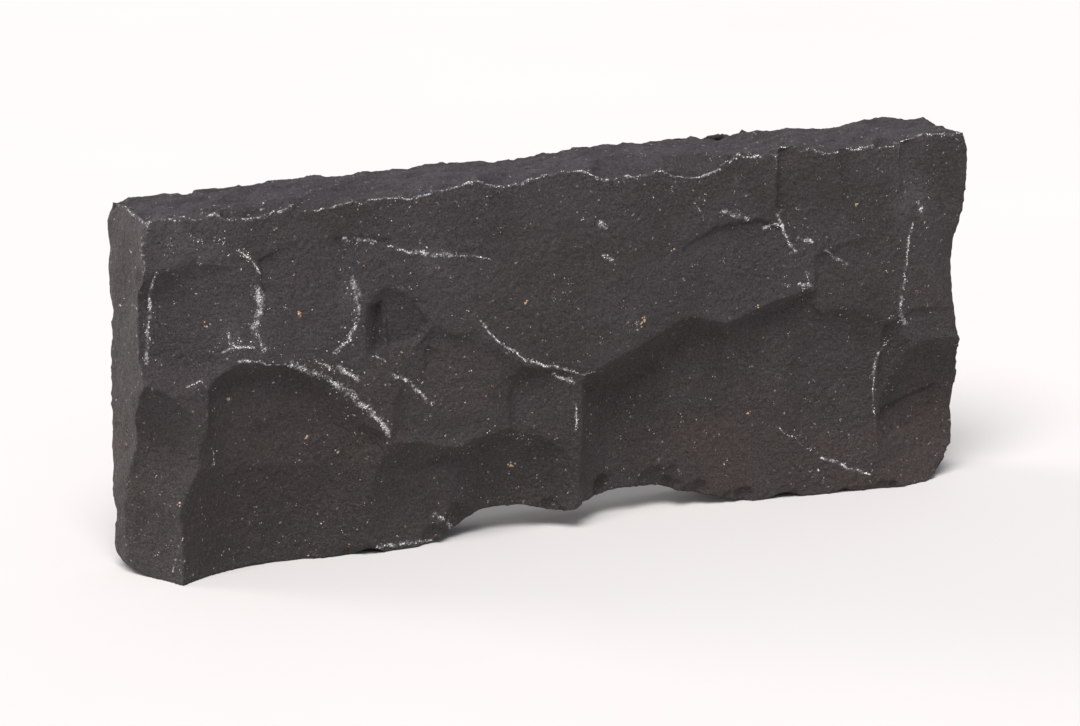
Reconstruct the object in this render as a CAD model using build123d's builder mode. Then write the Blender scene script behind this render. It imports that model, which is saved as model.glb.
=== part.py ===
from build123d import *
import os
from math import radians, sqrt, tan

# A hand-split basalt edging stone: one natural slab, hewn on every side with a hammer and chisel.
# X runs along its length, Y through its thickness with the worked face towards -Y, and Z up.
# The origin is the middle of the flat bed that it stands on. All lengths are millimetres.

LENGTH = 506.0
THICKNESS = 60.0
HEIGHT = 209.0

FACE = -THICKNESS / 2
BACK = THICKNESS / 2
LEFT = -LENGTH / 2
RIGHT = LENGTH / 2
STOCK = 20.0  # how far a chip's solid stands clear of the stone, so that it cuts right through

# The slab's outline seen from the front, clockwise from the lower left corner.
OUTLINE = [
    (LEFT, 9),
    (LEFT, HEIGHT - 11),
    (LEFT + 4, HEIGHT - 2),
    (-120, HEIGHT),
    (150, HEIGHT),
    (RIGHT - 4, HEIGHT - 2),
    (RIGHT, HEIGHT - 14),
    (RIGHT - 2, 178),
    (RIGHT - 9, 138),
    (RIGHT - 10, 110),
    (RIGHT - 7, 92),
    (RIGHT - 3, 76),
    (RIGHT, 60),
    (RIGHT - 2, 38),
    (RIGHT - 2, 20),
    (RIGHT - 12, 5),
    (RIGHT - 24, 0),
    (120, 0),
    (108, 2),
    (80, 9),
    (62, 13),
    (46, 15),
    (27, 15),
    (-2, 11),
    (-34, 14),
    (-49, 14),
    (-64, 7),
    (-80, 1),
    (-90, 0),
    (LEFT + 10, 0),
    (LEFT + 4, 2),
]

# Broad facets of the worked face, as (x, z, lean along x, lean along z) of a plane through the
# face at that point. A lean is how many millimetres the plane goes back for each one along.
FACETS = [
    ("upper_face", 0, 95, 0.0, 0.03),
]

# Conchoidal scars of the worked face, as (x, z, depth, lean to +x, lean to +z, radius): a ball's
# surface passes that deep behind the face at that point, and its surface looks that way there.
FACE_SCOOPS = [
    ("arch", -170, 60, 17, 0.0, 0.0, 100),
    ("arch_lower", -182, 50, 19.5, 0.08, -0.28, 105),
    ("under_ledge", -95, 35, 14, 0.0, -0.18, 95),
    ("middle_hollow", -65, 45, 11, 0.45, -0.40, 68),
    ("oval", 98, 140, 6.0, 0.0, 0.0, 155),
    ("lower_right", 162, 62, 12.5, 0.0, 0.0, 140),
    ("right_end", 213, 54, 12, 0.35, -0.20, 70),
    ("right_edge", 240, 128, 4.5, 0.28, 0.0, 95),
    ("left_edge_upper", -240, 74, 17, -0.62, -0.05, 62),
    ("left_edge_lower", -242, 30, 26, -1.5, -0.15, 100),
    ("left_crease", -176, 176, 3.5, 0.12, 0.0, 45),
]

# Flakes with a stepped rim, as (rim outline, floor reference x, z and depth there, floor lean in
# depth along x and z, wall angle, bend depth). A rim is convex and goes clockwise. A wall is steep
# at 0 degrees and flat at 90, and past the bend depth it is WALL_BEND degrees flatter.
WALL_BEND = 22.0
NO_BEND = THICKNESS
FACE_FLAKES = [
    ("left_facet", [(-270, 108), (-270, 180), (-246, 182), (-228, 185), (-206, 182), (-188, 170),
                    (-184, 150), (-188, 124), (-216, 110)], -188, 150, 0.3, -0.18, 0.0, 60, NO_BEND),
    ("arch_step", [(-223, -60), (-217, 108), (-212, 117), (-200, 122), (-182, 121),
                   (-165, 116), (-142, 102), (-112, 70), (-104, -60)],
     -165, 95, 12.0, 0.0, -0.05, 38, 4.0),
    ("mid_left", [(-102, 118), (-60, 126), (-24, 100), (-8, 58), (-80, 56), (-112, 66)],
     -75, 100, 4.0, 0.0, -0.03, 62, NO_BEND),
    ("great_facet", [(-62, 168), (-48, 225), (270, 225), (270, 88), (10, 90), (-30, 102),
                     (-58, 128), (-60, 150)], -60, 150, 2.3, -0.010, -0.022, 36, NO_BEND),
    ("top_facet", [(-108, 177), (-94, 225), (0, 225), (0, 166), (-60, 166)],
     -90, 190, 2.2, -0.016, 0.0, 45, NO_BEND),
    ("first_step", [(-126, 148), (-112, 160), (-84, 144), (-80, 100), (-104, 96), (-124, 118)],
     -112, 130, 6.0, -0.17, 0.0, 58, NO_BEND),
    ("second_step", [(-100, 120), (-84, 132), (-62, 118), (-66, 84), (-92, 84)],
     -90, 106, 5.8, -0.10, -0.04, 55, NO_BEND),
    ("under_streak", [(-112, 176), (-73, 168), (-76, 150), (-106, 152)],
     -95, 172, 3.4, 0.0, 0.14, 38, NO_BEND),
    ("tile", [(-44, 97), (-30, 103), (14, 94), (14, 40), (-30, 44), (-42, 64)],
     -40, 80, 10.5, -0.16, 0.0, 48, NO_BEND),
    ("ledge", [(-116, 44), (-106, 56), (-46, 65), (-38, 40), (-60, 16), (-112, 20)],
     -80, 45, 12.0, 0.0, -0.06, 40, 7.0),
    ("great_hollow", [(4, -60), (4, 88), (12, 93), (75, 120), (98, 113), (200, 60), (205, -60)],
     60, 40, 20.0, -0.13, 0.0, 40, 8.0),
    ("hollow_shoulder", [(70, 70), (78, 108), (150, 127), (175, 95), (180, 50)],
     60, 40, 20.0, -0.13, 0.0, 42, 5.0),
    ("right_step", [(153, 144), (172, 150), (212, 150), (212, 100), (200, 70), (160, 80),
                    (151, 100)], 153, 120, 4.5, -0.07, 0.0, 22, NO_BEND),
]

# Broad facets of the back, as (x, z, lean along x, lean along z), and its scars, as (x, z, depth,
# radius). A lean is how many millimetres the plane comes forward for each one along.
BACK_FACETS = [
    ("back_left", -120, 100, -0.03, 0.0),
    ("back_right", 120, 100, 0.05, 0.0),
    ("back_top", 0, 150, 0.0, 0.05),
    ("back_low", 0, 60, 0.0, -0.10),
]
BACK_SCOOPS = [
    ("back_far_left", -196, 146, 6, 300),
    ("back_left_low", -214, 44, 8, 180),
    ("back_left_middle", -124, 62, 9, 260),
    ("back_middle", -42, 142, 7, 340),
    ("back_middle_low", 28, 52, 9, 220),
    ("back_upper", 96, 152, 7, 280),
    ("back_right_middle", 150, 68, 9, 240),
    ("back_right_end", 218, 140, 7, 200),
]

# Scars of the top, as (x, y, depth, radius), and of the two ends, as the ball's (x, y, z, radius).
TOP_SCOOPS = [
    ("top_left_corner", -250, -20, 4.0, 40),
    ("top_far_left", -212, 20, 2.2, 70),
    ("top_left", -180, -2, 4.0, 44),
    ("top_left_front", -142, -27, 5.0, 42),
    ("top_left_middle", -108, -20, 3.6, 110),
    ("top_left_back", -86, 22, 1.6, 150),
    ("top_middle", -14, 20, 2.6, 330),
    ("top_middle_front", -38, -30, 4.4, 40),
    ("top_pit", 41, -25, 6.4, 44),
    ("top_right_middle", 112, 2, 3.0, 170),
    ("top_right_front", 168, -24, 4.4, 60),
    ("top_right_back", 176, 24, 3.2, 240),
    ("top_right_dip", 210, -27, 4.0, 40),
    ("top_right_end", 246, 6, 4.2, 110),
]
END_SCOOPS = [
    ("left_end_upper", LEFT - 66, -2, 160, 68.5),
    ("left_end_lower", LEFT - 84, 8, 84, 86.5),
    ("left_end_nick", LEFT - 2, BACK + 7, 127, 9.5),
    ("right_end_upper", RIGHT + 78, 12, 150, 86),
    ("right_end_lower", RIGHT + 60, 16, 66, 67),
    ("right_end_corner", RIGHT + 14, BACK + 16, 118, 30),
]


def scoop_centre(x, z, depth, lean_x, lean_z, radius):
    """Centre of the ball that a scoop in the worked face is a part of."""
    step = radius / sqrt(lean_x**2 + 1 + lean_z**2)
    return (x + lean_x * step, FACE + depth - step, z + lean_z * step)


def wall_plane(start, end, wall_angle, depth):
    """Plane of one wall of a chip, leaning in as it goes deeper, that deep below a rim edge."""
    run_x = end[0] - start[0]
    run_z = end[1] - start[1]
    return Plane(
        origin=(start[0], FACE + depth, start[1]),
        z_dir=(-run_z, tan(radians(wall_angle)) * sqrt(run_x**2 + run_z**2), run_x),
    )


def chip_solid(rim, floor_x, floor_z, floor_depth, lean_x, lean_z, wall_angle, bend_depth):
    """The rock that one stepped flake takes off the worked face."""
    floor = Plane(origin=(floor_x, FACE + floor_depth, floor_z), z_dir=(-lean_x, 1, -lean_z))
    with BuildPart() as chip:
        with Locations((0, 0, HEIGHT / 2)):
            Box(LENGTH + STOCK, THICKNESS + STOCK, HEIGHT * 2)
        for start, end in zip(rim, rim[1:] + rim[:1]):
            split(bisect_by=wall_plane(start, end, wall_angle, 0), keep=Keep.BOTTOM)
            if bend_depth < NO_BEND:
                gentle = wall_plane(start, end, wall_angle + WALL_BEND, bend_depth)
                split(bisect_by=gentle, keep=Keep.BOTTOM)
        split(bisect_by=floor, keep=Keep.BOTTOM)
    return chip.part


chips = [chip_solid(*flake[1:]) for flake in FACE_FLAKES]

with BuildPart() as basalt_block:
    # the slab before it was hewn, in its front outline
    with BuildSketch(Plane.XZ.offset(THICKNESS / 2)):
        with BuildLine():
            Polyline(*OUTLINE, close=True)
        make_face()
    extrude(amount=-THICKNESS)

    # broad facets of the worked face
    for name, x, z, lean_x, lean_z in FACETS:
        split(bisect_by=Plane(origin=(x, FACE, z), z_dir=(lean_x, -1, lean_z)), keep=Keep.BOTTOM)

    # stepped flakes, then conchoidal scoops
    for chip in chips:
        add(chip, mode=Mode.SUBTRACT)
    for name, x, z, depth, lean_x, lean_z, radius in FACE_SCOOPS:
        with Locations(scoop_centre(x, z, depth, lean_x, lean_z, radius)):
            Sphere(radius, mode=Mode.SUBTRACT)

    # the back: broad facets, then scoops
    for name, x, z, lean_x, lean_z in BACK_FACETS:
        split(bisect_by=Plane(origin=(x, BACK, z), z_dir=(lean_x, 1, lean_z)), keep=Keep.BOTTOM)
    for name, x, z, depth, radius in BACK_SCOOPS:
        with Locations((x, BACK - depth + radius, z)):
            Sphere(radius, mode=Mode.SUBTRACT)

    # scars of the top and the two ends
    for name, x, y, depth, radius in TOP_SCOOPS:
        with Locations((x, y, HEIGHT - depth + radius)):
            Sphere(radius, mode=Mode.SUBTRACT)
    for name, x, y, z, radius in END_SCOOPS:
        with Locations((x, y, z)):
            Sphere(radius, mode=Mode.SUBTRACT)

basalt_block.part.label = "basalt_block"

os.makedirs("parts", exist_ok=True)
export_step(basalt_block.part, "parts/basalt_block.step")
print("basalt_block volume", round(basalt_block.part.volume), "mm3, box", basalt_block.part.bounding_box())
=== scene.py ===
"""Looks of a hand-hewn basalt edging stone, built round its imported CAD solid.

The CAD solid carries the big facets and scars. Here its surface is remeshed finely, its arrises are
nibbled, its scars get ripples and hackles, and it is given rock, crushed tool marks and crystals.
Shape work is done in millimetres and written back to Blender's metres.
"""

import math
import random

import bpy
import numpy as np
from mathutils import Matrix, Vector, kdtree, noise
from mathutils.bvhtree import BVHTree


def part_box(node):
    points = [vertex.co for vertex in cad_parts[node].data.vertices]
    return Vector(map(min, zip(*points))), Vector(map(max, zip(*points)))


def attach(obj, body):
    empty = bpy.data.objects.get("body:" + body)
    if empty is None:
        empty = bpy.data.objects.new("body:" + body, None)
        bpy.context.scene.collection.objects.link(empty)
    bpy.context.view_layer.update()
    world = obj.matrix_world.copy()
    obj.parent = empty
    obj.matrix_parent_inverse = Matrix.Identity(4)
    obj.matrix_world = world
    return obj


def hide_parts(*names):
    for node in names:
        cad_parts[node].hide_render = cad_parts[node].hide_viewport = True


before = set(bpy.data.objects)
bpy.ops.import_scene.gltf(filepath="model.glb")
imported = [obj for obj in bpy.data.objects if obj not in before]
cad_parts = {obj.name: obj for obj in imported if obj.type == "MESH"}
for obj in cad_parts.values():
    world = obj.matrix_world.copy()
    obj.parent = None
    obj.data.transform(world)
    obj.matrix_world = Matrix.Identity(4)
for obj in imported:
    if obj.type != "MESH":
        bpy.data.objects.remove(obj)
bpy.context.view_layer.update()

MM = 0.001
SEED = 7
NODE = "basalt_block"

low, high = [np.array(corner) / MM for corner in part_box(NODE)]
LEFT, RIGHT = low[0], high[0]
FACE, BACK = low[1], high[1]
BED, TOP = low[2], high[2]

# ---------------------------------------------------------------- camera
CAMERA_AZIMUTH = -25.09
CAMERA_ELEVATION = 15.48
CAMERA_DISTANCE = 2809.0
CAMERA_TARGET = (-6.3, 0.0, 92.7)
SENSOR_WIDTH = 36.0
LENS = 166.8


def camera_position():
    """Where the camera stands, in millimetres."""
    azimuth, elevation = math.radians(CAMERA_AZIMUTH), math.radians(CAMERA_ELEVATION)
    back = Vector((
        math.sin(azimuth) * math.cos(elevation),
        -math.cos(azimuth) * math.cos(elevation),
        math.sin(elevation),
    ))
    return Vector(CAMERA_TARGET) + back * CAMERA_DISTANCE


def make_camera():
    data = bpy.data.cameras.new("camera")
    data.sensor_width = SENSOR_WIDTH
    data.lens = LENS
    data.clip_end = 50.0
    camera = bpy.data.objects.new("camera", data)
    place = camera_position()
    camera.location = place * MM
    look = Vector(CAMERA_TARGET) - place
    camera.rotation_mode = "QUATERNION"
    camera.rotation_quaternion = look.to_track_quat("-Z", "Y")
    bpy.context.collection.objects.link(camera)
    bpy.context.scene.camera = camera


# ---------------------------------------------------------------- the stone's fine surface
VOXEL = 1.25  # the remeshed surface's cell


def fine_copy(node, name):
    """A new object with the CAD node's surface as an even mesh."""
    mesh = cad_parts[node].data.copy()
    piece = bpy.data.objects.new(name, mesh)
    bpy.context.collection.objects.link(piece)
    remesh = piece.modifiers.new("remesh", "REMESH")
    remesh.mode = "VOXEL"
    remesh.voxel_size = VOXEL * MM
    depsgraph = bpy.context.evaluated_depsgraph_get()
    piece.data = bpy.data.meshes.new_from_object(piece.evaluated_get(depsgraph))
    piece.modifiers.clear()
    piece.data.name = name
    return piece


def read(collection, attribute, width, kind=float):
    """An attribute of a mesh's items as an array, with width numbers to an item."""
    values = np.empty(len(collection) * width, dtype=kind)
    collection.foreach_get(attribute, values)
    return values.reshape(-1, width)


def read_points(mesh):
    return read(mesh.vertices, "co", 3) / MM


def write_points(mesh, points):
    mesh.vertices.foreach_set("co", (points * MM).ravel())
    mesh.update()


def read_normals(mesh):
    return read(mesh.vertex_normals, "vector", 3)


def write_mask(mesh, name, values):
    """Gives each point a value that the material reads by name."""
    layer = mesh.attributes.new(name, "FLOAT", "POINT")
    layer.data.foreach_set("value", values.astype(np.float32))


def spread(values, edges, rounds):
    """Each point's value averaged with its neighbours', a number of times."""
    counts = np.bincount(edges.ravel(), minlength=len(values)).astype(float)
    for _ in range(rounds):
        total = np.zeros_like(values)
        np.add.at(total, edges[:, 0], values[edges[:, 1]])
        np.add.at(total, edges[:, 1], values[edges[:, 0]])
        values = (values + total) / (1 + counts.reshape(-1, *[1] * (values.ndim - 1)))
    return values


def smooth_step(low_end, high_end, values):
    """Values as a share of the way from one end to the other, easing in and out."""
    t = np.clip((values - low_end) / (high_end - low_end), 0, 1)
    return t * t * (3 - 2 * t)


def fractal(points, wavelength, octaves=3, shift=0.0):
    """Layered noise, about -1 to 1, whose largest bumps are a wavelength across."""
    scaled = points / wavelength + shift
    return np.array([noise.fractal(p, 0.9, 2.1, octaves) for p in scaled])


# ---------------------------------------------------------------- chips
# Chips along an arris: (spacing, deepest, smallest and largest radius of the bite).
BROAD_CHIPS = (20.0, 1.6, (14.0, 50.0))
BROAD_FOOT_CHIPS = (20.0, 0.9, (8.0, 20.0))
SMALL_CHIPS = (5.0, 0.8, (2.5, 10.0))
SLIGHTEST = 0.12  # the slightest chip, as a share of the deepest
RIM_WAVELENGTH = 5.0  # of the waver in a chip's rim
SLICE = 1.5  # half the length of arris searched for its outermost point

# How far the real arris may be from the block's own edge. At the foot the block is cut away.
ARRIS_REACH = 9.0
FOOT_REACH = 32.0


def strike(points, centre, radius, rough):
    """Takes a ball-shaped bite out of the surface, with a rim that wavers by rough."""
    away = points - centre
    reach = np.linalg.norm(away, axis=1)
    near = np.flatnonzero(reach < radius + rough)
    waver = np.array([noise.noise(p / RIM_WAVELENGTH) for p in points[near]])
    edge = radius + rough * waver
    inside = reach[near] < edge
    chosen = near[inside]
    points[chosen] = centre + away[chosen] / reach[chosen, None] * edge[inside, None]


def nibble_arris(points, rng, start, end, outward, furthest, chips):
    """Uneven chips along one edge of the block: most are slight and a few go deep. Where the real
    arris is further than that from the line between the ends, the rock is left alone."""
    spacing, deepest, radius = chips
    start, end = np.array(start, float), np.array(end, float)
    outward = np.array(outward, float) / np.linalg.norm(outward)
    length = np.linalg.norm(end - start)
    run = (end - start) / length
    along = rng.uniform(0, spacing)
    while along < length:
        turn = np.array([rng.gauss(0, 0.30) for _ in range(3)])
        direction = (outward + turn) / np.linalg.norm(outward + turn)
        ball = rng.uniform(*radius)
        bite = deepest * (SLIGHTEST + (1 - SLIGHTEST) * rng.random() ** 2.5)
        slice_here = points[np.abs((points - start) @ run - along) < SLICE]
        corner = slice_here[np.argmax(slice_here @ outward)]
        if np.linalg.norm(corner - start - run * along) < furthest:
            strike(points, corner + direction * (ball - bite), ball, bite * 0.5)
        along += spacing * rng.expovariate(1.0)


def chip_arrises(points, rng):
    """Chips along the block's edges. The edges at the foot of the faces get shallower ones."""
    for start, end, outward in (
        ((LEFT + 4, FACE, TOP), (RIGHT - 4, FACE, TOP), (0, -1, 1)),
        ((LEFT + 4, BACK, TOP), (RIGHT - 4, BACK, TOP), (0, 1, 1)),
        ((LEFT, FACE, BED + 10), (LEFT, FACE, TOP - 5), (-1, -1, 0)),
        ((LEFT, BACK, BED + 10), (LEFT, BACK, TOP - 5), (-1, 1, 0)),
        ((RIGHT, FACE, BED + 10), (RIGHT, FACE, TOP - 5), (1, -1, 0)),
        ((RIGHT, BACK, BED + 10), (RIGHT, BACK, TOP - 5), (1, 1, 0)),
        ((LEFT, FACE, TOP), (LEFT, BACK, TOP), (-1, 0, 1)),
        ((RIGHT, FACE, TOP), (RIGHT, BACK, TOP), (1, 0, 1)),
        ((LEFT + 60, FACE, BED + 2), (RIGHT - 8, FACE, BED + 2), (0, -1, -0.4)),
        ((LEFT + 8, BACK, BED + 2), (RIGHT - 8, BACK, BED + 2), (0, 1, -0.4)),
    ):
        foot = outward[2] < 0
        furthest, broad = (FOOT_REACH, BROAD_FOOT_CHIPS) if foot else (ARRIS_REACH, BROAD_CHIPS)
        nibble_arris(points, rng, start, end, outward, furthest, broad)
        nibble_arris(points, rng, start, end, outward, furthest, SMALL_CHIPS)


def rim_distance(places, rim):
    """How far each place (x, z) is inside a closed outline; outside is negative."""
    corners = np.array(rim, float)
    nearest = np.full(len(places), np.inf)
    inside = np.zeros(len(places), bool)
    for start, end in zip(corners, np.roll(corners, -1, axis=0)):
        run, to_place = end - start, places - start
        share = np.clip(to_place @ run / (run @ run), 0, 1)
        nearest = np.minimum(nearest, np.linalg.norm(to_place - share[:, None] * run, axis=1))
        crosses = (start[1] > places[:, 1]) != (end[1] > places[:, 1])
        rise = np.where(crosses, (places[:, 1] - start[1]) / (end[1] - start[1] + 1e-9), 0)
        inside ^= crosses & (places[:, 0] < start[0] + rise * run[0])
    return np.where(inside, nearest, -nearest)


RIM_WAVER = 0.7
FLAKE_WAVELENGTH = 5.5


def flake_face(points, front, rim, at, depth, lean, wall):
    """A shallow flake off the worked face, among the points numbered in front. Its floor lies depth
    below the surface at the place `at`, and gets deeper by lean (along x, along z). Its walls go in
    by wall for each one down."""
    places = points[front][:, (0, 2)]
    waver = RIM_WAVER * np.array(
        [noise.noise(Vector((x, 31.0, z)) / FLAKE_WAVELENGTH) for x, z in places])
    walls = (rim_distance(places, rim) + waver) / wall
    floor = depth + (places - np.array(at, float)) @ np.array(lean, float)
    points[front, 1] += np.clip(np.minimum(walls, floor), 0, None)


# Small flakes of the worked face: (rim, place, depth there, lean, wall).
SMALL_FLAKES = [
    ([(-186, 178), (-172, 184), (-166, 170), (-172, 158), (-184, 158)],
     (-183, 168), 1.8, (-0.14, 0.0), 0.6),
    ([(-142, 186), (-128, 184), (-108, 182), (-112, 172), (-138, 174)],
     (-125, 184), 1.3, (0.0, 0.10), 0.5),
    ([(-125, 145), (-113, 147), (-111, 120), (-123, 116)], (-125, 130), 0.2, (0.34, 0.0), 0.5),
    ([(-112, 146), (-94, 143), (-86, 132), (-92, 121), (-110, 119)],
     (-104, 145), 0.3, (0.0, -0.16), 0.6),
    ([(-88, 118), (-80, 116), (-76, 104), (-82, 98), (-88, 104)],
     (-86, 108), 2.0, (-0.20, 0.0), 0.9),
    ([(68, 156), (90, 167), (118, 169), (132, 162), (122, 150), (86, 148)],
     (90, 165), 1.6, (0.0, 0.10), 0.7),
    ([(128, 210), (143, 210), (141, 180), (136, 168), (128, 174)], (130, 190), 4.2, (-0.33, 0.0), 0.7),
    ([(166, 210), (186, 210), (182, 176), (172, 168)], (169, 190), 1.7, (-0.10, 0.0), 0.8),
    ([(206, 210), (238, 210), (238, 184), (218, 160), (208, 170)],
     (211, 186), 1.9, (-0.07, 0.0), 0.8),
    ([(198, 98), (216, 106), (250, 104), (250, 36), (204, 26), (197, 56)],
     (198, 70), 2.6, (-0.05, 0.0), 1.1),
    ([(196, 44), (222, 50), (240, 56), (240, 36), (214, 24), (200, 22)],
     (214, 46), 1.8, (-0.02, 0.07), 0.9),
]


CREASE_ROUNDS = 12
MOST_FILL = 1.0


def soften_creases(points, normals, edges):
    """Fills the sharp hollows between flakes a little, and leaves the arrises crisp."""
    fill = ((spread(points, edges, CREASE_ROUNDS) - points) * normals).sum(axis=1)
    points += normals * np.clip(fill, 0, MOST_FILL)[:, None]


# ---------------------------------------------------------------- the whole stone
WAVER = 1.7  # sideways, in the lines where flakes meet
FLAKED_DEPTH = 32.0  # the worked face's small flakes are on rock no further back than this
BED_SHARE = 0.15  # how much of the relief is left at the bed


def waver_edges(points):
    """Makes the straight lines between the flakes wander, inside the bed and the top."""
    waver_x = WAVER * fractal(points, 26.0, 3, 41.0)
    waver_z = WAVER * fractal(points, 26.0, 3, 57.0)
    inner = smooth_step(BED + 1.0, BED + 12.0, points[:, 2]) * smooth_step(TOP, TOP - 10, points[:, 2])
    points[:, 0] += waver_x * inner
    points[:, 2] += waver_z * inner


def roughen(points, normals):
    """The relief of broken rock, with deeper tears on the top and the back. The bed stays flat."""
    swell = 0.8 * fractal(points, 75.0, 2)
    dimple = 0.30 * fractal(points, 19.0, 3, 3.7)
    hackle = -0.55 * np.abs(fractal(points * (1.0, 1.0, 0.7), 11.0, 3, 9.1))
    grit = 0.20 * fractal(points, 3.6, 3, 17.0)
    upward = smooth_step(0.5, 0.9, normals[:, 2])
    torn_top = -4.2 * np.abs(fractal(points * (0.5, 1.0, 1.0), 17.0, 4, 33.0)) * upward
    backward = smooth_step(0.5, 0.9, normals[:, 1])
    torn_back = -2.2 * np.abs(fractal(points, 38.0, 4, 87.0)) * backward
    lift = swell + dimple + hackle + grit + torn_top + torn_back
    free = smooth_step(BED + 0.5, BED + 6.0, points[:, 2])
    points += normals * (lift * (BED_SHARE + (1 - BED_SHARE) * free))[:, None]
    points[:, 2] = np.maximum(points[:, 2], BED)


def shape_stone():
    """The stone, and how sharply it stands out at each of its points, from 0 to 1."""
    stone = fine_copy(NODE, "stone")
    mesh = stone.data
    points = read_points(mesh)
    edges = read(mesh.edges, "vertices", 2, np.int64)

    normals = spread(read_normals(mesh), edges, 1)
    soften_creases(points, normals, edges)
    waver_edges(points)
    front = np.flatnonzero((normals[:, 1] < -0.35) & (points[:, 1] < FACE + FLAKED_DEPTH))
    for flake in SMALL_FLAKES:
        flake_face(points, front, *flake)
    chip_arrises(points, random.Random(SEED))
    write_points(mesh, points)

    roughen(points, spread(read_normals(mesh), edges, 2))
    write_points(mesh, points)

    bend = spread(points, edges, 2) - points
    convex = -(bend * read_normals(mesh)).sum(axis=1)
    mesh.shade_smooth()
    return stone, spread(np.clip(convex, 0, 1), edges, 1)


# ---------------------------------------------------------------- tool marks, wear and dust
# Crushed tool marks of the worked face: (half width, whiteness, places (x, z) along the mark). The
# places are on the face's plane, and each mark lies on the rock that the camera sees through them.
TOOL_MARKS = [
    (0.8, 1.0, [(-200, 123), (-188, 122), (-172, 118)]),
    (2.6, 0.9, [(-169, 118), (-160, 114), (-150, 109), (-142, 104)]),
    (3.1, 1.0, [(-143, 105), (-135, 98), (-128, 91), (-121, 84)]),
    (1.8, 1.0, [(-121, 84), (-116, 78), (-111, 71)]),
    (1.8, 0.8, [(-141, 114), (-136, 109), (-130, 104)]),
    (1.1, 1.0, [(-108, 106), (-100, 100), (-92, 92), (-85, 86)]),
    (1.4, 0.7, [(-156, 119), (-150, 117), (-146, 113)]),
    (0.7, 0.6, [(-122, 118), (-113, 113)]),
    (1.2, 1.0, [(-137, 186), (-128, 184), (-117, 182)]),
    (0.8, 0.8, [(-112, 178), (-106, 176), (-98, 174)]),
    (1.7, 1.0, [(-98, 174), (-88, 172), (-73, 169)]),
    (0.5, 0.5, [(-73, 169), (-60, 167), (-50, 164)]),
    (2.7, 0.8, [(-133, 163), (-130, 156), (-130, 146), (-131, 136)]),
    (1.5, 1.0, [(-131, 136), (-136, 128), (-145, 121)]),
    (0.7, 0.8, [(-57, 130), (-50, 122), (-40, 113), (-28, 104)]),
    (0.9, 0.8, [(-28, 104), (-20, 101), (-10, 98), (2, 94)]),
    (1.1, 0.9, [(-12, 95), (-6, 91), (0, 87)]),
    (0.5, 0.5, [(2, 94), (10, 92), (14, 93)]),
    (0.9, 0.6, [(2, 76), (3, 68), (1, 60)]),
    (1.2, 0.5, [(-196, 184), (-190, 177), (-186, 171)]),
    (3.4, 1.0, [(-188, 162), (-186, 153), (-190, 141)]),
    (2.6, 0.5, [(-190, 141), (-188, 134), (-184, 128)]),
    (4.0, 0.16, [(-204, 136), (-196, 134), (-188, 133)]),
    (7.0, 0.13, [(-238, 190), (-222, 194), (-204, 190), (-192, 180)]),
    (0.8, 0.8, [(-263, 216), (-257, 211), (-252, 206)]),
    (1.0, 0.5, [(-261, 192), (-259, 190)]),
    (0.5, 0.4, [(-267, 163), (-260, 162), (-255, 156)]),
    (0.9, 0.7, [(-258, 145), (-258, 143)]),
    (1.0, 0.7, [(-209, 130), (-200, 132), (-190, 130)]),
    (0.7, 0.6, [(-206, 142), (-204, 134), (-198, 131)]),
    (1.3, 0.8, [(-246, 178), (-250, 166), (-251, 150), (-253, 128)]),
    (0.8, 0.5, [(-230, 113), (-222, 115), (-217, 112)]),
    (1.6, 1.0, [(93, 177), (100, 174), (108, 170)]),
    (1.2, 0.9, [(119, 165), (126, 165), (131, 163)]),
    (1.0, 0.9, [(127, 172), (130, 164), (134, 155), (139, 148)]),
    (1.4, 0.8, [(140, 156), (150, 152)]),
    (1.2, 0.8, [(141, 129), (150, 127)]),
    (1.0, 0.7, [(158, 147), (166, 141), (173, 137)]),
    (0.5, 0.5, [(75, 184), (82, 173)]),
    (0.8, 0.5, [(146, 136), (148, 130), (142, 122)]),
    (1.9, 1.0, [(218, 168), (220, 163)]),
    (0.8, 0.7, [(215, 158), (212, 148), (211, 132), (209, 118)]),
    (1.7, 0.8, [(208, 114), (207, 106), (211, 98)]),
    (1.3, 0.6, [(198, 88), (192, 80), (191, 70)]),
    (0.6, 0.5, [(191, 68), (190, 55), (192, 44)]),
    (2.0, 1.0, [(17, 178), (20, 174)]),
    (1.4, 1.0, [(19, 160), (24, 156)]),
    (1.6, 0.5, [(39, 118), (41, 112)]),
    (0.5, 0.5, [(-52, 66), (-36, 62), (-24, 58)]),
    (0.8, 0.5, [(-234, 28), (-238, 18), (-240, 10)]),
    (0.9, 0.5, [(-216, 76), (-214, 68)]),
    (2.2, 0.8, [(-84, 22), (-78, 18), (-74, 13)]),
    (1.3, 0.8, [(-120, 8), (-100, 8), (-84, 8)]),
    (0.8, 0.5, [(-30, 24), (-33, 18)]),
    (0.6, 0.4, [(150, 12), (156, 18), (160, 10), (164, 6)]),
    (0.6, 0.4, [(126, 48), (140, 38), (156, 28)]),
    (0.9, 0.8, [(158, 25), (172, 18), (190, 10)]),
]
MARK_STEP = 0.6
MARK_WANDER = 1.2
WANDER_WAVELENGTH = 6.0
ARRIS_ZONE = 30.0  # the top arris is within this of the face's plane and of the top
MARKED_DEPTH = 40.0  # marks are on rock no further back than this from the face's plane


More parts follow.
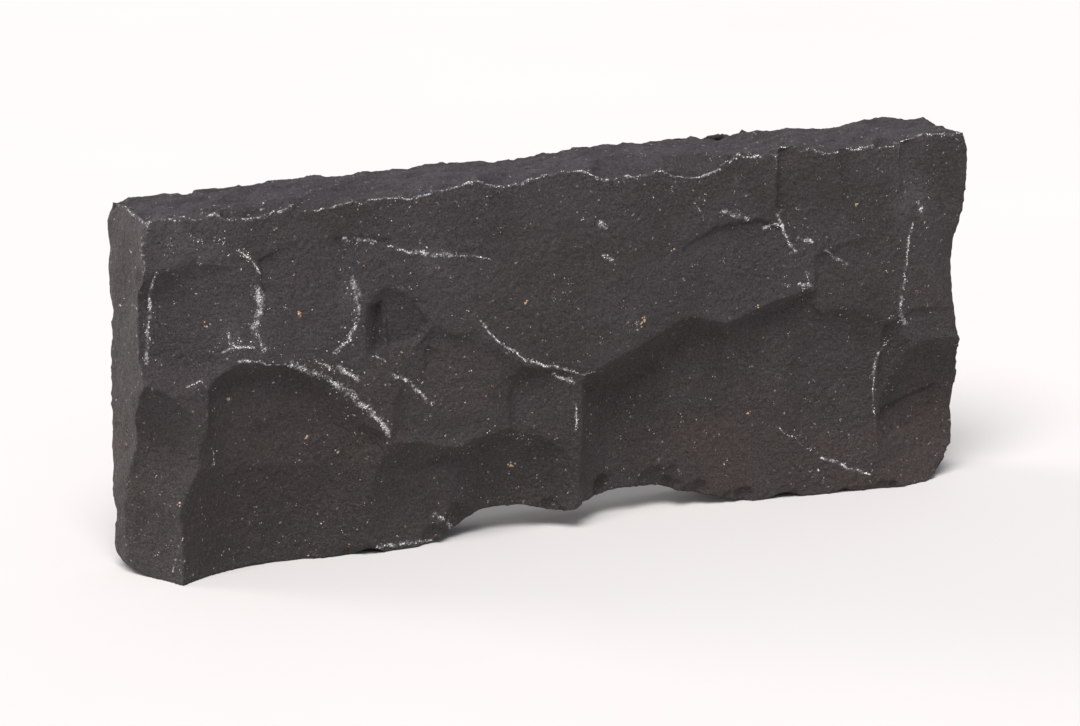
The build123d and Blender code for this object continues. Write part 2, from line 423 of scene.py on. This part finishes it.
class Surface:
    """The finished stone, to find places on it."""

    def __init__(self, mesh):
        self.points = read_points(mesh)
        mesh.calc_loop_triangles()
        self.triangles = read(mesh.loop_triangles, "vertices", 3, np.int64)
        corners = self.points[self.triangles]
        cross = np.cross(corners[:, 1] - corners[:, 0], corners[:, 2] - corners[:, 0])
        self.shares = np.cumsum(np.linalg.norm(cross, axis=1))
        self.tree = BVHTree.FromPolygons(self.points.tolist(), self.triangles.tolist())
        self.eye = camera_position()

    def seen(self, x, z):
        """The place on the stone, and its normal, seen through (x, z) of the worked face's plane."""
        through = Vector((x, FACE, z))
        place, normal, _, _ = self.tree.ray_cast(self.eye, (through - self.eye).normalized())
        return place, normal

    def scattered(self, rng):
        """A place picked evenly at random over the whole stone."""
        triangle = int(np.searchsorted(self.shares, rng.random() * self.shares[-1]))
        a, b, c = (Vector(p) for p in self.points[self.triangles[triangle]])
        u, v = rng.random(), rng.random()
        if u + v > 1:
            u, v = 1 - u, 1 - v
        return a + (b - a) * u + (c - a) * v

    def beside(self, place, reach, rng):
        """A place on the stone near another, and its normal."""
        side = Vector([rng.gauss(0, reach) for _ in range(3)])
        near, normal, _, _ = self.tree.find_nearest(place + side)
        return near, normal


def mark_places(surface, rng):
    """Places along every tool mark, as (place, half width, whiteness)."""
    found = []
    for half_width, whiteness, path in TOOL_MARKS:
        for (x0, z0), (x1, z1) in zip(path, path[1:]):
            steps = max(1, round(math.hypot(x1 - x0, z1 - z0) / MARK_STEP))
            for i in range(steps):
                t = i / steps
                x, z = x0 + t * (x1 - x0), z0 + t * (z1 - z0)
                wander = MARK_WANDER * noise.noise(Vector((x, 7.0, z)) / WANDER_WAVELENGTH)
                place, _ = surface.seen(x + wander, z + wander)
                if place is not None:
                    found.append((place, half_width * rng.uniform(0.4, 1.3), whiteness))
    return found


def arris_places(surface, rng):
    """Places along the knocked top arris of the worked face, in the same form."""
    points = surface.points
    corner = points[(points[:, 1] < FACE + ARRIS_ZONE) & (points[:, 2] > TOP - ARRIS_ZONE)]
    found = []
    for x in np.arange(LEFT + 5, RIGHT - 5, MARK_STEP):
        near = corner[np.abs(corner[:, 0] - x) < 1.0]
        place = Vector(near[np.argmax(near[:, 2] - near[:, 1])])
        whiteness = 0.55 + 0.9 * noise.noise(Vector((x / 19.0, 5.0, 0.0)))
        half_width = 0.45 + 1.6 * max(0.0, noise.noise(Vector((x / 8.0, 9.0, 0.0))) - 0.1)
        found.append((place, half_width * rng.uniform(0.6, 1.3), min(max(whiteness, 0.1), 1.0)))
    return found


def bruise_mask(points, marks):
    """How crushed the rock is at each point, from 0 to 1."""
    tree = kdtree.KDTree(len(marks))
    for i, (place, _, _) in enumerate(marks):
        tree.insert(place, i)
    tree.balance()
    values = np.zeros(len(points))
    for i in np.flatnonzero(points[:, 1] < FACE + MARKED_DEPTH):
        _, nearest, gap = tree.find(points[i])
        _, half_width, whiteness = marks[nearest]
        values[i] = whiteness * max(0.0, 1.0 - gap / (half_width * 1.1 + 0.5))
    return values


LEFT_WORN_FROM = 115.0
SLIGHT_WEAR = 0.12


def worn_edges(points, arris):
    """The knocked, whitened arrises: strongest along the top of the worked face and the upper half
    of its left-hand edge, and slight on every other arris."""
    top_front = np.hypot(points[:, 1] - FACE, (points[:, 2] - TOP + 2) * 0.8)
    left_front = np.hypot(points[:, 0] - LEFT - 4, points[:, 1] - FACE - 6)
    left_front = np.where(points[:, 2] > LEFT_WORN_FROM, left_front, np.inf)
    near = np.minimum(top_front, left_front + 3)
    place_share = smooth_step(11, 4, near) + SLIGHT_WEAR
    patchy = 0.75 + 1.1 * fractal(points, 22.0, 3, 71.0)
    return np.clip(smooth_step(0.12, 0.32, arris) * place_share * np.clip(patchy, 0.1, 1), 0, 1)


# Places (x, z) of the worked face that are pale with stone dust, and how far it reaches.
DUSTY_PLACES = [(-226, 190, 26), (-198, 138, 17), (-133, 150, 11), (-84, 168, 10), (214, 170, 14)]


def dust_mask(points):
    """Stone dust around the hammered places of the worked face, from 0 to 1."""
    dust = np.zeros(len(points))
    for x, z, reach in DUSTY_PLACES:
        away = np.hypot(points[:, 0] - x, points[:, 2] - z) / reach
        dust = np.maximum(dust, np.exp(-away**2))
    patchy = np.clip(0.65 + 0.9 * fractal(points, 10.0, 3, 29.0), 0, 1)
    return dust * patchy * smooth_step(0, FACE, points[:, 1])


# ---------------------------------------------------------------- grains and crystals
CRUMB_SHAPE = [(1, 0, 0), (-1, 0, 0), (0, 1, 0), (0, -1, 0), (0, 0, 1), (0, 0, -1)]
CRUMB_FACES = [(0, 2, 4), (2, 1, 4), (1, 3, 4), (3, 0, 4), (2, 0, 5), (1, 2, 5), (3, 1, 5), (0, 3, 5)]
BED_CLEARANCE = 1.5


class Crumbs:
    """Many small angular grains set in the rock, gathered into one mesh. Each is flattened against
    the surface and mostly sunk in it: flat and proud are its thickness and how far it stands out,
    as shares of its size."""

    def __init__(self, name, proud, flat):
        self.name = name
        self.proud = proud
        self.flat = flat
        self.points = []
        self.faces = []

    def set_in(self, rng, place, normal, size):
        """One grain of a size (radius). The bed has none, because it stands on the floor."""
        if place.z < BED + BED_CLEARANCE:
            return
        turn = normal.to_track_quat("Z", "Y")
        spin = rng.uniform(0, math.tau)
        first = len(self.points)
        for x, y, z in CRUMB_SHAPE:
            stretch = [rng.uniform(0.6, 1.3) for _ in range(3)]
            flat_x, flat_y = x * stretch[0] * size, y * stretch[1] * size
            corner = Vector((
                flat_x * math.cos(spin) - flat_y * math.sin(spin),
                flat_x * math.sin(spin) + flat_y * math.cos(spin),
                z * stretch[2] * size * self.flat + size * (self.proud - self.flat * 0.5),
            ))
            self.points.append(place + turn @ corner)
        self.faces += [tuple(first + k for k in face) for face in CRUMB_FACES]

    def build(self, material):
        data = bpy.data.meshes.new(self.name)
        data.from_pydata([tuple(p * MM) for p in self.points], [], self.faces)
        data.materials.append(material)
        piece = bpy.data.objects.new(self.name, data)
        bpy.context.collection.objects.link(piece)
        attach(piece, "root")


def crushed_rock(surface, marks, rng):
    """The white powdered grains along the tool marks, packed in some stretches and sparse in
    others, with a thin spill of them around each mark."""
    crumbs = Crumbs("crushed_rock", proud=0.25, flat=0.55)
    for place, half_width, whiteness in marks:
        packed = 0.40 + 2.2 * noise.noise(place / 4.0)
        for _ in range(round(2 + 3.0 * half_width)):
            spilt = rng.random() < 0.15
            if rng.random() > whiteness * (0.5 if spilt else packed):
                continue
            near, normal = surface.beside(place, half_width * (1.6 if spilt else 0.34), rng)
            crumbs.set_in(rng, near, normal, 0.10 + 0.38 * rng.random() ** 2)
    return crumbs


def crushed_arris(surface, crumbs, worn, rng):
    """The same grains along the knocked arrises."""
    for i in np.flatnonzero(worn > 0.25):
        place = Vector(surface.points[i])
        if rng.random() < 0.9 * worn[i] * (0.5 + 1.2 * noise.noise(place / 7.0)):
            near, normal = surface.beside(place, 0.5, rng)
            crumbs.set_in(rng, near, normal, 0.12 + 0.45 * rng.random() ** 2)


def scatter_crystals(surface, rng, name, clusters, members, spread_mm, size):
    """Crystals of one mineral, in small clusters over the whole stone."""
    crumbs = Crumbs(name, proud=0.12, flat=0.4)
    for _ in range(clusters):
        place = surface.scattered(rng)
        for _ in range(rng.randint(*members)):
            near, normal = surface.beside(place, spread_mm, rng)
            crumbs.set_in(rng, near, normal, rng.uniform(*size))
    return crumbs


# The crystals that stand out on the worked face: (x, z, spread, how many).
NOTABLE_OLIVINES = [
    (44, 119, 1.8, 12), (-164, 146, 0.9, 6), (-217, 146, 0.9, 4), (-38, 46, 1.2, 6),
    (-206, 104, 0.8, 4), (-160, 77, 0.7, 3), (-142, 66, 0.6, 3), (-236, 48, 0.9, 3),
    (-29, 139, 0.8, 3), (110, 57, 0.6, 3), (62, 158, 0.7, 3), (178, 172, 0.6, 3),
]


def notable_crystals(surface, rng, crumbs):
    """Adds the crystals that stand out to those scattered over the stone."""
    for x, z, spread_mm, count in NOTABLE_OLIVINES:
        for _ in range(count):
            place, normal = surface.seen(x + rng.gauss(0, spread_mm), z + rng.gauss(0, spread_mm))
            if place is not None:
                crumbs.set_in(rng, place, normal, rng.uniform(0.55, 1.25))


# ---------------------------------------------------------------- materials
class Nodes:
    """A small helper for building node trees. Noise scales are for places in metres: a scale of 26
    has its largest features about 1/26 of a metre apart."""

    def __init__(self, name):
        self.material = bpy.data.materials.new(name)
        self.material.use_nodes = True
        self.tree = self.material.node_tree
        self.shader = self.tree.nodes["Principled BSDF"]

    def add(self, kind, inputs=None, **settings):
        node = self.tree.nodes.new(kind)
        for key, value in settings.items():
            setattr(node, key, value)
        for key, value in (inputs or {}).items():
            self.feed(node.inputs[key], value)
        return node

    def feed(self, socket, value):
        if isinstance(value, bpy.types.NodeSocket):
            self.tree.links.new(value, socket)
        else:
            socket.default_value = value

    def noise(self, vector, scale, detail=2.0, roughness=0.5, distortion=0.0):
        node = self.add("ShaderNodeTexNoise", {
            "Vector": vector, "Scale": scale, "Detail": detail, "Roughness": roughness,
            "Distortion": distortion})
        return node.outputs["Fac"]

    def ridges(self, vector, scale, detail):
        """Noise with sharp crests."""
        node = self.add("ShaderNodeTexNoise", {
            "Vector": vector, "Scale": scale, "Detail": detail, "Roughness": 0.6, "Offset": 0.9,
            "Gain": 2.0}, noise_type="RIDGED_MULTIFRACTAL")
        return node.outputs["Fac"]

    def math(self, operation, a, b):
        return self.add("ShaderNodeMath", {0: a, 1: b}, operation=operation).outputs[0]

    def ramp(self, value, low_end, high_end, low_out=0.0, high_out=1.0):
        node = self.add("ShaderNodeMapRange", {
            "Value": value, "From Min": low_end, "From Max": high_end, "To Min": low_out,
            "To Max": high_out}, interpolation_type="SMOOTHSTEP")
        return node.outputs["Result"]

    def mix(self, factor, a, b):
        node = self.add("ShaderNodeMix", data_type="RGBA")
        self.feed(node.inputs["Factor"], factor)
        self.feed(node.inputs["A"], a)
        self.feed(node.inputs["B"], b)
        return node.outputs["Result"]

    def place(self):
        return self.add("ShaderNodeTexCoord").outputs["Object"]

    def mask(self, name):
        return self.add("ShaderNodeAttribute", attribute_name=name).outputs["Fac"]


DARK_ROCK = (0.0200, 0.0149, 0.0140, 1)
MID_ROCK = (0.0360, 0.0283, 0.0284, 1)
PURPLE_ROCK = (0.0345, 0.0275, 0.0325, 1)
PAINTED_SKY_SHEEN = (0.0345, 0.0305, 0.0380, 1)
DUSTY_ROCK = (0.068, 0.061, 0.061, 1)
BROWN_ROCK = (0.0345, 0.0242, 0.0203, 1)
BLACK_GRAIN = (0.0065, 0.0052, 0.0050, 1)
PALE_GRAIN = (0.088, 0.077, 0.078, 1)
FLECK = (0.24, 0.22, 0.21, 1)
CRUSHED = (0.46, 0.44, 0.44, 1)
FLOOR_SHADES = ((0.54, 0.525, 0.51, 1), (0.57, 0.555, 0.54, 1))

# Minerals: (darker colour, paler colour, scale of the change between them, roughness).
CRUSHED_BASALT = ((0.44, 0.42, 0.41, 1), (0.80, 0.78, 0.77, 1), 900, 0.9)
FELDSPAR = ((0.26, 0.24, 0.23, 1), (0.62, 0.59, 0.56, 1), 600, 0.5)
OLIVINE = ((0.30, 0.15, 0.08, 1), (0.42, 0.33, 0.22, 1), 500, 0.45)


def rock_colour(n, place):
    """Dark grey basalt, purple above and brown below, speckled at the size of its grains, with a
    painted bluish sky reflection on the faces that look up. Gives the colour, and the noise of the
    grains."""
    colour = n.mix(n.ramp(n.noise(place, 26, 6, 0.7), 0.34, 0.66), DARK_ROCK, MID_ROCK)
    where = n.add("ShaderNodeSeparateXYZ", {"Vector": place}).outputs
    upper = n.ramp(where["Z"], 0.06, 0.15)
    purple = n.ramp(n.noise(place, 9, 3, 0.6, 0.6), 0.44, 0.66, 0, 0.8)
    colour = n.mix(n.math("MULTIPLY", purple, upper), colour, PURPLE_ROCK)
    brown = n.ramp(n.noise(place, 14, 4, 0.65, 0.8), 0.42, 0.66, 0, 0.85)
    colour = n.mix(n.math("MULTIPLY", brown, n.math("SUBTRACT", 1.2, upper)), colour, BROWN_ROCK)
    # Darker towards the bed on the left half of the stone.
    foot = n.math("MULTIPLY", n.ramp(where["Z"], 0.08, 0.0), n.ramp(where["X"], -0.06, -0.16))
    colour = n.mix(n.math("MULTIPLY", foot, 0.7), colour, DARK_ROCK)
    # Painted sky reflection: faces that look up are tinted bluish, the more the more they face up.
    facing = n.add("ShaderNodeNewGeometry").outputs["Normal"]
    facing_up = n.add("ShaderNodeSeparateXYZ", {"Vector": facing}).outputs["Z"]
    colour = n.mix(n.ramp(facing_up, 0.5, 0.9, 0, 0.35), colour, PAINTED_SKY_SHEEN)
    colour = n.mix(n.math("MULTIPLY", n.mask("dust"), 0.6), colour, DUSTY_ROCK)
    grain = n.noise(place, 950, 4, 0.75)
    colour = n.mix(n.ramp(grain, 0.49, 0.35, 0, 0.8), colour, BLACK_GRAIN)
    return n.mix(n.ramp(grain, 0.53, 0.69, 0, 0.6), colour, PALE_GRAIN), grain


def pale_flecks(n, place):
    """Feldspar laths under a millimetre long."""
    cell = n.add("ShaderNodeTexVoronoi", {"Vector": place, "Scale": 330.0}).outputs["Distance"]
    rare = n.noise(place, 210, 2, 0.5)
    return n.math("MULTIPLY", n.ramp(cell, 0.26, 0.12), n.ramp(rare, 0.58, 0.66))


def basalt_material():
    """The rock, whitened where it is crushed or worn, with the fine relief of its grains."""
    n = Nodes("basalt")
    place = n.place()
    colour, grain = rock_colour(n, place)
    colour = n.mix(n.math("MULTIPLY", pale_flecks(n, place), 0.8), colour, FLECK)
    torn = n.noise(place, 620, 4, 0.8)
    worn = n.math("MULTIPLY", n.ramp(n.mask("worn"), 0.05, 0.6), n.ramp(torn, 0.47, 0.60))
    clumps = n.ramp(n.noise(place, 260, 2, 0.6), 0.40, 0.60, 0.15, 1.0)
    bruised = n.math("MULTIPLY", n.ramp(n.mask("bruise"), 0.10, 0.65), n.ramp(torn, 0.42, 0.60))
    bruised = n.math("MULTIPLY", bruised, clumps)
    crushed = n.math("MAXIMUM", n.math("MULTIPLY", worn, clumps), bruised)
    colour = n.mix(n.math("MULTIPLY", crushed, 0.85), colour, CRUSHED)
    n.feed(n.shader.inputs["Base Color"], colour)
    n.feed(n.shader.inputs["Roughness"], n.ramp(grain, 0.3, 0.7, 0.88, 0.62))
    bumps = n.math("ADD", n.math("MULTIPLY", grain, 0.8), n.noise(place, 2600, 2, 0.6))
    bumps = n.math("ADD", bumps, n.math("MULTIPLY", n.noise(place, 380, 4, 0.7), 1.6))
    bumps = n.math("SUBTRACT", bumps, n.math("MULTIPLY", n.ridges(place, 190, 5), 0.9))
    bump = n.add("ShaderNodeBump", {"Height": bumps, "Strength": 0.8, "Distance": 0.0008})
    n.feed(n.shader.inputs["Normal"], bump.outputs["Normal"])
    return n.material


def grain_material(name, first, second, scale, roughness):
    """A mineral whose grains vary between two colours."""
    n = Nodes(name)
    place = n.place()
    colour = n.mix(n.ramp(n.noise(place, scale, 2), 0.38, 0.62), first, second)
    n.feed(n.shader.inputs["Base Color"], colour)
    n.shader.inputs["Roughness"].default_value = roughness
    return n.material


def floor_material():
    n = Nodes("pale_floor")
    place = n.place()
    n.feed(n.shader.inputs["Base Color"], n.mix(n.noise(place, 3, 2), *FLOOR_SHADES))
    n.shader.inputs["Roughness"].default_value = 0.95
    return n.material


# ---------------------------------------------------------------- studio
def make_floor():
    reach = 14.0
    data = bpy.data.meshes.new("floor")
    corners = [(-reach, -reach, 0), (reach, -reach, 0), (reach, reach, 0), (-reach, reach, 0)]
    data.from_pydata(corners, [], [(0, 1, 2, 3)])
    floor = bpy.data.objects.new("floor", data)
    bpy.context.collection.objects.link(floor)
    data.materials.append(floor_material())


def soft_light(name, toward, strength, spread_degrees, colour):
    """A distant soft light; `toward` points from the stone to the light."""
    data = bpy.data.lights.new(name, "SUN")
    data.energy = strength
    data.angle = math.radians(spread_degrees)
    data.color = colour
    light = bpy.data.objects.new(name, data)
    light.rotation_mode = "QUATERNION"
    light.rotation_quaternion = Vector(toward).to_track_quat("Z", "Y")
    bpy.context.collection.objects.link(light)


def light_studio():
    world = bpy.data.worlds.new("studio")
    world.use_nodes = True
    background = world.node_tree.nodes["Background"]
    background.inputs["Color"].default_value = (0.96, 0.96, 1.06, 1)
    background.inputs["Strength"].default_value = 0.50
    bpy.context.scene.world = world
    soft_light("overhead", (-0.30, -0.42, 0.86), 4.4, 36.0, (1.0, 0.98, 0.975))
    soft_light("left_side", (-0.74, 0.66, 0.22), 2.1, 30.0, (1.0, 0.95, 0.90))
    bpy.context.scene.view_settings.view_transform = "Standard"


# ---------------------------------------------------------------- build
stone, arris = shape_stone()
surface = Surface(stone.data)
marks = mark_places(surface, random.Random(SEED + 1))
marks += arris_places(surface, random.Random(SEED + 3))
worn = worn_edges(surface.points, arris)
write_mask(stone.data, "bruise", bruise_mask(surface.points, marks))
write_mask(stone.data, "dust", dust_mask(surface.points))
write_mask(stone.data, "worn", worn)
stone.data.materials.clear()
stone.data.materials.append(basalt_material())
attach(stone, "root")
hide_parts(NODE)

rng = random.Random(SEED + 2)
crushed = crushed_rock(surface, marks, rng)
crushed_arris(surface, crushed, worn, rng)
crushed.build(grain_material("crushed_basalt", *CRUSHED_BASALT))
feldspar = scatter_crystals(surface, rng, "feldspar_grains", 1300, (1, 3), 0.6, (0.18, 0.46))
feldspar.build(grain_material("feldspar", *FELDSPAR))
olivine = scatter_crystals(surface, rng, "olivine_grains", 170, (1, 4), 0.8, (0.25, 0.60))
notable_crystals(surface, rng, olivine)
olivine.build(grain_material("olivine", *OLIVINE))

make_camera()
make_floor()
light_studio()
